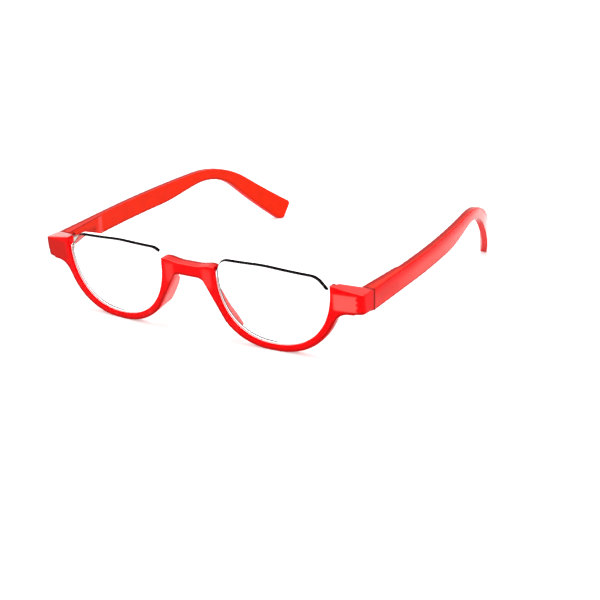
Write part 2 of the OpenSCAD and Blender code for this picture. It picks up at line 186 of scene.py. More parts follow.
def merged_copy(node: bpy.types.Object, name: str) -> bpy.types.Object:
    """Copy a CAD node's mesh and make its loose triangles one clean surface.

    Args:
        node: CAD node to copy.
        name: Name of the new piece.

    Returns:
        The new piece, with flat faces joined and no material.
    """
    piece = bpy.data.objects.new(name, node.data.copy())
    piece.data.materials.clear()
    bpy.context.scene.collection.objects.link(piece)
    only(piece)
    bpy.ops.mesh.customdata_custom_splitnormals_clear()
    bpy.ops.object.mode_set(mode="EDIT")
    bpy.ops.mesh.select_all(action="SELECT")
    bpy.ops.mesh.remove_doubles(threshold=MERGE)
    bpy.ops.mesh.dissolve_limited(angle_limit=FLAT)
    bpy.ops.object.mode_set(mode="OBJECT")
    return piece


def tumble(piece: bpy.types.Object, voxel: float, passes: int, keep: float) -> None:
    """Wear every edge round, as tumbling in a barrel does, and fill inner corners.

    Args:
        piece: Closed mesh object.
        voxel: Size of the remesh's cells in metres.
        passes: How often the surface is smoothed.
        keep: Share of the faces that stay after thinning.
    """
    only(piece)
    remesh = piece.modifiers.new("even skin", "REMESH")
    remesh.mode = "VOXEL"
    remesh.voxel_size = voxel
    remesh.adaptivity = 0.0
    bpy.ops.object.modifier_apply(modifier=remesh.name)
    smooth = piece.modifiers.new("tumbled", "SMOOTH")
    smooth.factor = SOFTEN
    smooth.iterations = passes
    bpy.ops.object.modifier_apply(modifier=smooth.name)
    thin = piece.modifiers.new("fewer faces", "DECIMATE")
    thin.ratio = keep
    bpy.ops.object.modifier_apply(modifier=thin.name)
    bpy.ops.object.shade_smooth_by_angle(angle=WORN_ANGLE)


def wear_off(piece: bpy.types.Object, share: Callable[[Vector], float], passes: int) -> None:
    """Wear one part of a piece rounder than the rest.

    Args:
        piece: Mesh object with an even skin.
        share: How much of the wear a point takes, from its place.
        passes: How often that part is smoothed.
    """
    only(piece)
    group = piece.vertex_groups.new(name="worn")
    for point in piece.data.vertices:
        weight = share(point.co)
        if weight > 0:
            group.add([point.index], weight, "REPLACE")
    smooth = piece.modifiers.new("worn", "SMOOTH")
    smooth.vertex_group = group.name
    smooth.factor = SOFTEN
    smooth.iterations = passes
    bpy.ops.object.modifier_apply(modifier=smooth.name)
    piece.vertex_groups.clear()


def smooth_step(value: float, low: float, high: float) -> float:
    """Ease from 0 at low to 1 at high, and the other way where high is the lower."""
    share = min(max((value - low) / (high - low), 0.0), 1.0)
    return share * share * (3 - 2 * share)


def write_share(
    piece: bpy.types.Object, name: str, share: Callable[[Vector, Vector], float]
) -> None:
    """Store one number from 0 to 1 at each point of a mesh, for its material.

    Args:
        piece: Mesh object.
        name: Name of the attribute.
        share: The number from a point's place and normal.
    """
    mesh = piece.data
    marks = mesh.attributes.new(name, "FLOAT", "POINT")
    normals = mesh.vertex_normals
    values = [share(point.co, normals[point.index].vector) for point in mesh.vertices]
    marks.data.foreach_set("value", values)


@dataclass
class EdgeFinder:
    """Tells how near a place on a piece is to the edge where its surface runs out."""

    piece: bpy.types.Object
    lift: float = 0.5 * MM
    steps: int = 6

    def __post_init__(self) -> None:
        """Sort the piece's faces for quick probing."""
        mesh = self.piece.data
        faces = [tuple(polygon.vertices) for polygon in mesh.polygons]
        self.tree = BVHTree.FromPolygons([point.co for point in mesh.vertices], faces)

    def share(self, point: Vector, way: Vector, into: Vector, reach: float) -> float:
        """Probe the surface at even steps from a point.

        Args:
            point: Place on the surface.
            way: Direction along the surface.
            into: Direction into the piece.
            reach: Length that is probed.

        Returns:
            1 within half the reach of the edge, falling to 0 at the full reach.
        """
        missed = 0
        for step in range(self.steps):
            start = point + way * (reach * (step + 1) / self.steps) - into * self.lift
            missed += self.tree.ray_cast(start, into, 2 * self.lift)[0] is None
        return min(2 * missed / self.steps, 1.0)


# Finishes


@dataclass(frozen=True)
class ClearRedPlastic:
    """Translucent red cellulose propionate, injection moulded in a polished tool.

    It is glossy and slightly clear. Light comes through thin, flat walls, which turn
    salmon pink, while rims and thick corners stay a deep signal red, and the inner
    faces of the temples lean to orange. Here that light and shade are painted: the
    material is nearly opaque and less glossy than the real one, and shares on the mesh
    paint lit pink, orange shade, dark edge shade and the metal's shade into its colour.
    """

    name: str = "Red moulded cellulose propionate"
    deep: str = "#f40408"
    # painted light: the pink that light coming through thin walls gives
    thin: str = "#fc5852"
    # painted shade: the more orange red of the temples' inner faces and tops
    inner: str = "#f42a0a"
    # painted shade on edges, undersides and seams
    edge: str = "#a80602"
    shade: str = "#b81a0c"
    ior: float = 1.49
    roughness: float = 0.16
    transmission: float = 0.05
    specular: float = 0.04
    sheen_at: tuple[float, float] = (0.62, 0.9)
    sheen_ior: float = 1.7
    sheen_roughness: float = 0.08
    absorbed_red: float = 0.01
    absorbed_most: float = 1.4
    ripple_mm: float = 6.0
    ripple_depth: float = 0.05 * MM
    ripple_share: float = 0.25
    cloud: tuple[float, float] = (0.94, 1.05)

    def make(self) -> bpy.types.Material:
        """Build the material's nodes.

        Returns:
            The finished material.
        """
        material, tree, output = new_material(self.name)
        place = add_node(tree, "ShaderNodeTexCoord")
        ripple = add_node(
            tree,
            "ShaderNodeTexNoise",
            inputs={
                "Vector": place.outputs["Object"],
                "Scale": 1 / (self.ripple_mm * MM),
                "Detail": 2.0,
            },
        )
        tint = None
        layers = (
            ("thin_wall", self.thin),
            ("inner_face", self.inner),
            ("metal_behind", self.shade),
            ("outer_edge", self.edge),
        )
        for attribute, colour in layers:
            share = add_node(tree, "ShaderNodeAttribute", {"attribute_name": attribute})
            below = linear(self.deep) if tint is None else tint.outputs[2]
            tint = add_node(
                tree,
                "ShaderNodeMix",
                {"data_type": "RGBA"},
                {0: share.outputs["Fac"], 6: below, 7: linear(colour)},
            )
        cloud = add_node(
            tree,
            "ShaderNodeMapRange",
            inputs={
                "Value": ripple.outputs[0],
                "From Min": NOISE_SPAN[0],
                "From Max": NOISE_SPAN[1],
                "To Min": self.cloud[0],
                "To Max": self.cloud[1],
            },
        )
        cloudy = add_node(
            tree,
            "ShaderNodeVectorMath",
            {"operation": "SCALE"},
            {0: tint.outputs[2], "Scale": cloud.outputs[0]},
        )
        gloss = add_node(
            tree,
            "ShaderNodeMapRange",
            inputs={
                "Value": ripple.outputs[0],
                "From Min": NOISE_SPAN[0],
                "From Max": NOISE_SPAN[1],
                "To Min": self.roughness * GLOSS_SPAN[0],
                "To Max": self.roughness * GLOSS_SPAN[1],
            },
        )
        bump = add_node(
            tree,
            "ShaderNodeBump",
            inputs={
                "Height": ripple.outputs[0],
                "Strength": self.ripple_share,
                "Distance": self.ripple_depth,
            },
        )
        glance = add_node(tree, "ShaderNodeLayerWeight", inputs={"Blend": 0.5})
        # the coat's sheen goes only where light is painted
        lit_share = add_node(tree, "ShaderNodeAttribute", {"attribute_name": "thin_wall"})
        low_angle = add_node(
            tree,
            "ShaderNodeMapRange",
            inputs={
                "Value": glance.outputs["Facing"],
                "From Min": self.sheen_at[0],
                "From Max": self.sheen_at[1],
            },
        )
        sheen = add_node(
            tree,
            "ShaderNodeMath",
            {"operation": "MULTIPLY"},
            {0: low_angle.outputs[0], 1: lit_share.outputs["Fac"]},
        )
        shader = add_node(
            tree,
            "ShaderNodeBsdfPrincipled",
            inputs={
                "Base Color": cloudy.outputs[0],
                "IOR": self.ior,
                "Roughness": gloss.outputs[0],
                "Transmission Weight": self.transmission,
                "Specular IOR Level": self.specular,
                "Normal": bump.outputs[0],
                "Coat Weight": sheen.outputs[0],
                "Coat IOR": self.sheen_ior,
                "Coat Roughness": self.sheen_roughness,
            },
        )
        inside = add_node(
            tree,
            "ShaderNodeVolumeAbsorption",
            inputs={
                "Color": (1 - self.absorbed_red / self.absorbed_most, 0.0, 0.0, 1.0),
                "Density": self.absorbed_most / MM,
            },
        )
        tree.links.new(shader.outputs[0], output.inputs["Surface"])
        tree.links.new(inside.outputs[0], output.inputs["Volume"])
        return material


@dataclass(frozen=True)
class LensResin:
    """Optical resin, cast and polished: water clear, with a faint sheen of its own."""

    name: str = "Polished lens resin"
    tint: str = "#fbfdfd"
    clear: str = "#ffffff"
    ior: float = 1.5
    roughness: float = 0.0
    haze_mm: float = 8.33

    def make(self) -> bpy.types.Material:
        """Build the material's nodes.

        Returns:
            The finished material.
        """
        material, tree, output = new_material(self.name)
        place = add_node(tree, "ShaderNodeTexCoord")
        haze = add_node(
            tree,
            "ShaderNodeTexNoise",
            inputs={
                "Vector": place.outputs["Object"],
                "Scale": 1 / (self.haze_mm * MM),
                "Detail": 2.0,
            },
        )
        tint = add_node(
            tree,
            "ShaderNodeMix",
            {"data_type": "RGBA"},
            {0: haze.outputs[0], 6: linear(self.tint), 7: linear(self.clear)},
        )
        shader = add_node(
            tree,
            "ShaderNodeBsdfPrincipled",
            inputs={
                "Base Color": tint.outputs[2],
                "IOR": self.ior,
                "Roughness": self.roughness,
                "Transmission Weight": 1.0,
            },
        )
        ray = add_node(tree, "ShaderNodeLightPath")
        open_way = add_node(tree, "ShaderNodeBsdfTransparent")
        mix = add_node(
            tree,
            "ShaderNodeMixShader",
            inputs={0: ray.outputs["Is Shadow Ray"], 1: shader.outputs[0], 2: open_way.outputs[0]},
        )
        tree.links.new(mix.outputs[0], output.inputs["Surface"])
        return material


@dataclass(frozen=True)
class GroundLensEdge:
    """The lens's safety bevel, ground fine, with painted shade: a thin black line.

    The real one is clear and only looks black where it turns the light away. Here that
    shade is painted black from every side.
    """

    # the bevel's black is painted shade
    name: str = "Ground lens bevel"
    dark: str = "#0a0607"
    light: str = "#140d0f"
    roughness: float = 0.6
    specular: float = 0.02
    grit_mm: float = 0.25

    def make(self) -> bpy.types.Material:
        """Build the material's nodes.

        Returns:
            The finished material.
        """
        material, tree, output = new_material(self.name)
        place = add_node(tree, "ShaderNodeTexCoord")
        grit = add_node(
            tree,
            "ShaderNodeTexNoise",
            inputs={
                "Vector": place.outputs["Object"],
                "Scale": 1 / (self.grit_mm * MM),
                "Detail": 3.0,
            },
        )
        tone = add_node(
            tree,
            "ShaderNodeMix",
            {"data_type": "RGBA"},
            {0: grit.outputs[0], 6: linear(self.dark), 7: linear(self.light)},
        )
        shader = add_node(
            tree,
            "ShaderNodeBsdfPrincipled",
            inputs={
                "Base Color": tone.outputs[2],
                "Roughness": self.roughness,
                "Specular IOR Level": self.specular,
            },
        )
        tree.links.new(shader.outputs[0], output.inputs["Surface"])
        return material


@dataclass(frozen=True)
class GroundLensWall:
    """The lens's cut wall, ground matt by the edging wheel: frosted white with fine streaks.

    The clear resin carries light to it from both faces, so it stays pale even in the
    rim. That light is drawn as a glow of the wall's own.
    """

    name: str = "Ground lens wall"
    carried: float = 0.8
    glow: str = "#ffffff"
    light: str = "#fbfcfc"
    streak: str = "#f1f4f4"
    roughness: float = 0.55
    streak_mm: float = 0.3
    streak_depth: float = 0.02 * MM
    streak_share: float = 0.3

    def make(self) -> bpy.types.Material:
        """Build the material's nodes.

        Returns:
            The finished material.
        """
        material, tree, output = new_material(self.name)
        place = add_node(tree, "ShaderNodeTexCoord")
        streaks = add_node(
            tree,
            "ShaderNodeTexNoise",
            inputs={
                "Vector": place.outputs["Object"],
                "Scale": 1 / (self.streak_mm * MM),
                "Detail": 3.0,
            },
        )
        tone = add_node(
            tree,
            "ShaderNodeMix",
            {"data_type": "RGBA"},
            {0: streaks.outputs[0], 6: linear(self.streak), 7: linear(self.light)},
        )
        bump = add_node(
            tree,
            "ShaderNodeBump",
            inputs={
                "Height": streaks.outputs[0],
                "Strength": self.streak_share,
                "Distance": self.streak_depth,
            },
        )
        shader = add_node(
            tree,
            "ShaderNodeBsdfPrincipled",
            inputs={
                "Base Color": tone.outputs[2],
                "Roughness": self.roughness,
                "Normal": bump.outputs[0],
                "Emission Color": linear(self.glow),
                "Emission Strength": self.carried,
            },
        )
        tree.links.new(shader.outputs[0], output.inputs["Surface"])
        return material


@dataclass(frozen=True)
class HingeMetal:
    """Plain steel, stamped and tumbled: a warm grey with a soft shine and fine rub marks.

    The rub marks are drawn coarser than the real ones, which are too fine to show.
    """

    name: str = "Tumbled plain steel"
    light: str = "#d6d0c6"
    dark: str = "#b5aea3"
    roughness: float = 0.3
    grain_mm: float = 0.3
    grain_depth: float = 0.02 * MM
    grain_share: float = 0.3

    def make(self) -> bpy.types.Material:
        """Build the material's nodes.

        Returns:
            The finished material.
        """
        material, tree, output = new_material(self.name)
        place = add_node(tree, "ShaderNodeTexCoord")
        rubs = add_node(
            tree,
            "ShaderNodeTexNoise",
            inputs={
                "Vector": place.outputs["Object"],
                "Scale": 1 / (self.grain_mm * MM),
                "Detail": 4.0,
            },
        )
        tone = add_node(
            tree,
            "ShaderNodeMix",
            {"data_type": "RGBA"},
            {0: rubs.outputs[0], 6: linear(self.dark), 7: linear(self.light)},
        )
        shine = add_node(
            tree,
            "ShaderNodeMapRange",
            inputs={
                "Value": rubs.outputs[0],
                "To Min": self.roughness * GLOSS_SPAN[0],
                "To Max": self.roughness * GLOSS_SPAN[1],
            },
        )
        bump = add_node(
            tree,
            "ShaderNodeBump",
            inputs={
                "Height": rubs.outputs[0],
                "Strength": self.grain_share,
                "Distance": self.grain_depth,
            },
        )
        shader = add_node(
            tree,
            "ShaderNodeBsdfPrincipled",
            inputs={
                "Base Color": tone.outputs[2],
                "Metallic": 1.0,
                "Roughness": shine.outputs[0],
                "Normal": bump.outputs[0],
            },
        )
        tree.links.new(shader.outputs[0], output.inputs["Surface"])
        return material


# Pieces


@dataclass
class Front:
    """The lower-rim front with its bridge, nose pads and end pieces, one moulding.

    Places are set to match the photo, for the wearer's left half, and hold for
    both. A pair is where a share starts and where it is full, and four are its rise and
    its fall. Some shares differ from left to right, as the photo's light does.
    """

    voxel: float = 0.2 * MM
    passes: int = 10
    keep: float = 1.0
    low_corner: tuple[float, float, float] = (68.2 * MM, 18.15 * MM, 4.0 * MM)  # x, z, reach
    corner_passes: int = 180
    seam_y: float = -58.6 * MM
    panel_x: tuple[float, float] = (56.6 * MM, 58.0 * MM)
    panel_z: tuple[float, ...] = (18.7 * MM, 19.6 * MM, 24.5 * MM, 25.3 * MM)
    panel_share: tuple[float, float] = (1.0, 0.05)  # wearer's left, right
    teeth_x: float = 66.0 * MM
    teeth_z: tuple[float, float] = (19.15 * MM, 24.85 * MM)
    tooth_depth: float = 0.8 * MM
    blur: float = 0.25 * MM
    post_x: tuple[float, ...] = (5.4 * MM, 7.2 * MM, 8.8 * MM, 10.6 * MM)
    post_z: tuple[float, ...] = (18 * MM, 21 * MM, 25.5 * MM, 27.2 * MM)
    post_share: float = 0.35
    anchor_share: float = 0.6
    pad_share: float = 0.95
    pad_x: float = 19.5 * MM
    pad_y: tuple[float, float] = (-69.2 * MM, -66.2 * MM)
    pad_z: float = 22.5 * MM
    bridge_x: float = 11 * MM
    top_share: tuple[float, ...] = (0.3, 0.5, 0.9)  # bridge, left and right end piece
    top_z: tuple[float, float] = (20 * MM, 22 * MM)
    lens_middle: tuple[float, float] = (33.8 * MM, 25 * MM)
    # how far in from an edge the painted shade reaches
    back_band: float = 1.9 * MM
    low_band: float = 1.1 * MM
    side_band: float = 1.8 * MM

    def thin_wall(self, point: Vector, normal: Vector) -> float:
        """Paint light and a highlight where the photo shows them. No thickness is measured.

        Args:
            point: Place on the front.
            normal: Direction that the surface faces.

        Returns:
            1 on the wearer's left end piece up to a toothed line, near 1 on the nose pads,
            less on posts and tops, and near 0 on the right end piece and the rims.
        """
        x, z = abs(point.x), point.z
        low, high = self.teeth_z
        along = 3 * (z - low) / (high - low) % 1
        plate = self.teeth_x - self.tooth_depth * (1 - abs(2 * along - 1))
        # painted light coming through the wearer's left end piece, up to where the anchor's teeth
        # show
        panel = (
            self.panel_share[0 if point.x > 0 else 1]
            * smooth_step(x, self.panel_x[0], self.panel_x[1])
            * smooth_step(x, plate + self.blur, plate - self.blur)
            * smooth_step(z, self.panel_z[0], self.panel_z[1])
            * smooth_step(z, self.panel_z[3], self.panel_z[2])
            * smooth_step(-normal.y, *FACING)
        )
        # painted light on the bridge's posts
        post = (
            self.post_share
            * smooth_step(x, self.post_x[0], self.post_x[1])
            * smooth_step(x, self.post_x[3], self.post_x[2])
            * smooth_step(z, self.post_z[0], self.post_z[1])
            * smooth_step(z, self.post_z[3], self.post_z[2])
            * smooth_step(-normal.y, *FACING)
        )
        # painted light coming through the thin nose pads
        pad = 0.0
        if x < self.pad_x and z < self.pad_z:
            pad = self.pad_share * smooth_step(point.y, self.pad_y[0], self.pad_y[1])
        # painted light on the tops, which face the light
        top = self.top_share[0]
        if x > self.bridge_x:
            top = self.top_share[1 if point.x > 0 else 2]
        high_up = smooth_step(z, self.top_z[0], self.top_z[1])
        top *= smooth_step(normal.z, 0.75, 0.97) * high_up
        # painted highlight along the rounded front top edge
        crest = smooth_step(-normal.y, 0.2, 0.4) * smooth_step(normal.z, 0.2, 0.4) * high_up
        return max(panel, post, pad, top, crest)

    def metal_behind(self, point: Vector, normal: Vector) -> float:
        """Paint shade over the anchor in the wearer's right end piece, where the metal stops the
        light coming through.

        Args:
            point: Place on the front.
            normal: Direction that the surface faces.

        Returns:
            How much of the metal's shade the point takes, from 0 to 1.
        """
        low, high = self.teeth_z
        share = self.anchor_share if point.x < 0 else 0.0
        share *= smooth_step(-normal.y, *FACING)
        share *= smooth_step(abs(point.x), self.panel_x[0], self.panel_x[1] + 1 * MM)
        share *= smooth_step(point.z, low - 1 * MM, low)
        return share * smooth_step(point.z, high + 1.5 * MM, high)

    def low_corners(self, point: Vector) -> float:
        """Pick the low outer corners of the end pieces, which are worn rounder.

        Args:
            point: Place on the front.

        Returns:
            1 near a corner, falling to 0 at its reach and at the hinge's seam.
        """
        x, z, reach = self.low_corner
        away = math.hypot(abs(point.x) - x, point.z - z)
        ahead = smooth_step(point.y, self.seam_y - 0.6 * MM, self.seam_y - 1.6 * MM)
        return smooth_step(away, reach, reach * 0.6) * ahead

    def outer_edge(self, point: Vector, normal: Vector, finder: EdgeFinder) -> float:
        """Paint shade on back edges, undersides and the seam, as the photo shows them.

        Args:
            point: Place on the front.
            normal: Direction that the surface faces.
            finder: Finder of the front's edges.

        Returns:
            How much darker the point is, from 0 to 1.
        """
        x = abs(point.x)
        outwards = normal.x * math.copysign(1.0, point.x)
        # painted shade: back edges, undersides, the seam, and edges where the surface runs out
        back = smooth_step(normal.y, 0.1, 0.4)
        back *= smooth_step(normal.z, 0.12, 0.4) * smooth_step(normal.z, 0.99, 0.9)
        under = 0.6 * smooth_step(abs(normal.y), 0.9, 0.6) * smooth_step(normal.z, -0.05, -0.4)
        seam = 0.0
        if x > self.panel_x[0]:
            seam = smooth_step(point.y, self.seam_y - 0.7 * MM, self.seam_y - 0.3 * MM)
        if x < self.pad_x and point.z < self.pad_z:
            under = 0.0
            back = smooth_step(normal.y, 0.2, 0.6) * smooth_step(outwards, 0.05, 0.3)
        runs_out = 0.0
        reach = self.low_band
        down, backwards = Vector((0, 0, -1)), Vector((0, 1, 0))
        if normal.z > 0.6 and point.z > self.top_z[0]:
            runs_out = finder.share(point, backwards, down, self.back_band)
        elif normal.y < -0.4:
            way = down
            if self.bridge_x < x < self.panel_x[0]:
                middle_x, middle_z = self.lens_middle
                across = point.x - math.copysign(middle_x, point.x)
                way = Vector((across, 0, point.z - middle_z)).normalized()
            elif point.x < -self.panel_x[0]:
                way = Vector((-1, 0, -0.6)).normalized()
                reach = self.side_band
            runs_out = 0.8 * finder.share(point, way, backwards, reach)
        return max(0.9 * back, 0.9 * under, seam, 0.9 * runs_out)

    def build(self, node: bpy.types.Object, finish: bpy.types.Material) -> bpy.types.Object:
        """Make the front from its CAD node.

        Args:
            node: CAD node of the front.
            finish: Red plastic.

        Returns:
            The finished piece.
        """
        piece = merged_copy(node, "moulded_front")
        tumble(piece, self.voxel, self.passes, self.keep)
        wear_off(piece, self.low_corners, self.corner_passes)
        finder = EdgeFinder(piece)
        write_share(piece, "thin_wall", self.thin_wall)
        write_share(piece, "metal_behind", self.metal_behind)
        write_share(piece, "outer_edge", lambda p, n: self.outer_edge(p, n, finder))
        piece.data.materials.append(finish)
        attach(piece, "front")
        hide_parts("front_frame")
        log.info("%s: %d faces", piece.name, len(piece.data.polygons))
        return piece


@dataclass
class Temple:
    """A flat temple with its ear bend, hinge block and rounded tip.

    The bands are how far in from an edge the plastic is painted darker, as shade, and
    rise and fall are the slopes of the top edge before and after the bend.
    """

    side: Side
    voxel: float = 0.2 * MM
    passes: int = 7
    keep: float = 0.6
    seam_y: float = -58.4 * MM
    seam_top: float = 25.85 * MM
    block_end: float = -37.4 * MM
    glow: float = 1.8 * MM
    housing_y: tuple[float, float] = (-54.6 * MM, -41.0 * MM)
    housing_z: tuple[float, float] = (20.3 * MM, 23.7 * MM)
    blur: float = 1.0 * MM
    top_band: float = 2.4 * MM
    inner_band: float = 0.8 * MM
    # painted shade over the whole of the right temple's top
    dim_top: float = 0.25
    low_band: float = 0.8 * MM
    rise: float = math.tan(math.radians(3))
    bend_y: float = 38.8 * MM
    fall: float = 0.62

    def top_edge(self, y: float) -> float:
        """Give the height of the temple's top edge at a distance along it."""
        height = self.seam_top + (min(y, self.bend_y) - self.seam_y) * self.rise
        return height - max(y - self.bend_y, 0.0) * self.fall

    def metal_behind(self, point: Vector, normal: Vector) -> float:
        """Paint shade over the spring's metal housing, where the metal stops the light coming
        through.

        Args:
            point: Place on the temple.
            normal: Direction that the surface faces.

        Returns:
            How much of the metal's shade the point takes, from 0 to 1.
        """
        outwards = normal.x * self.side.value
        share = 0.2 * smooth_step(outwards, *FACING) + 0.8 * smooth_step(-outwards, *FACING)
        for value, (low, high) in ((point.y, self.housing_y), (point.z, self.housing_z)):
            share *= smooth_step(value, low - self.blur, low + self.blur)
            share *= smooth_step(value, high + self.blur, high - self.blur)
        return share

    def thin_wall(self, point: Vector, normal: Vector) -> float:
        """Paint light where the photo shows it, on the outer face and the block's end. No thickness
        is measured.

        Args:
            point: Place on the temple.
            normal: Direction that the surface faces.

        Returns:
            1 low on the outer face behind the hinge, less near the top and the hinge, and
            1 at the end of the hinge block.
        """
        # painted light: the outer face low down, lit pink by light coming through it
        outward = smooth_step(normal.x * self.side.value, 0.3, 0.8)
        below = self.top_edge(point.y) - point.z
        down = smooth_step(below, 0.4 * MM, 4.6 * MM)
        behind = 0.45 + 0.55 * smooth_step(point.y, -48 * MM, -22 * MM)
        return max(outward * down * behind, self.block_glow(point, normal))

    def block_glow(self, point: Vector, normal: Vector) -> float:
        """Paint light on the hinge block's back end, on the inner side.

        Args:
            point: Place on the temple.
            normal: Direction that the surface faces.

        Returns:
            How much lighter the point is, from 0 to 1.
        """
        away = abs(point.y - self.block_end + self.glow / 2)
        inward = smooth_step(-normal.x * self.side.value, 0.1, 0.3)
        near = smooth_step(away, self.glow, self.glow / 2)
        return 0.8 * inward * near * smooth_step(normal.z, 0.4, 0.2)

    def inner_face(self, point: Vector, normal: Vector) -> float:
        """Paint shade on the inner face and, more weakly, the top.

        Args:
            point: Place on the temple.
            normal: Direction that the surface faces.

        Returns:
            1 on the inner face, less on the top and 0 elsewhere.
        """
        inward = smooth_step(-normal.x * self.side.value, 0.3, 0.8)
        inward *= 1 - self.block_glow(point, normal)
        return max(inward, 0.8 * smooth_step(normal.z, 0.5, 0.8))

    def outer_edge(self, point: Vector, normal: Vector, finder: EdgeFinder) -> float:
        """Paint shade on long edges and seam, and more on the right temple's top, as in the photo.

        Args:
            point: Place on the temple.
            normal: Direction that the surface faces.
            finder: Finder of the temple's edges.

        Returns:
            How much darker the point is, from 0 to 1.
        """
        # painted shade on rounded long edges, outlines, the top and the seam
        steep = abs(normal.z)
        rounding = smooth_step(steep, 0.25, 0.5) * smooth_step(steep, 0.95, 0.85)
        rounding *= 0.3 + 0.7 * smooth_step(normal.x, 0.1, -0.1)
        outline = 0.0
        across, down = Vector((1, 0, 0)), Vector((0, 0, -1))
        if normal.z > 0.5:
            outline = finder.share(point, -across, down, self.top_band)
            if self.side is Side.RIGHT:
                outline = max(outline, self.dim_top)
                if point.y < self.block_end:
                    inner = finder.share(point, across, down, self.inner_band)
                    outline = max(outline, inner)
        elif normal.x > 0.4:
            outline = 0.8 * finder.share(point, down, -across, self.low_band)
        seam = smooth_step(point.y, self.seam_y + 0.6 * MM, self.seam_y + 0.25 * MM)
        straight = 0.4 + 0.6 * smooth_step(point.y, 48 * MM, 40 * MM)
        return max(0.9 * straight * max(0.85 * rounding, outline), seam)

    def build(self, node: bpy.types.Object, finish: bpy.types.Material) -> bpy.types.Object:
        """Make the temple from its CAD node.

        Args:
            node: CAD node of this temple.
            finish: Red plastic.

        Returns:
            The finished piece.
        """
        piece = merged_copy(node, f"moulded_temple_{self.side.word}")
        tumble(piece, self.voxel, self.passes, self.keep)
        write_share(piece, "thin_wall", self.thin_wall)
        write_share(piece, "inner_face", self.inner_face)
        write_share(piece, "metal_behind", self.metal_behind)
        finder = EdgeFinder(piece)
        write_share(piece, "outer_edge", lambda p, n: self.outer_edge(p, n, finder))
        piece.data.materials.append(finish)
        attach(piece, f"arm_{self.side.word}")
        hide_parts(f"temple_{self.side.word}")
        log.info("%s: %d faces", piece.name, len(piece.data.polygons))
        return piece


class LensFace(Enum):
    """Where a face of a lens lies, and its place in the lens's list of materials."""

    POLISHED = 0
    WALL = 1
    BEVEL = 2


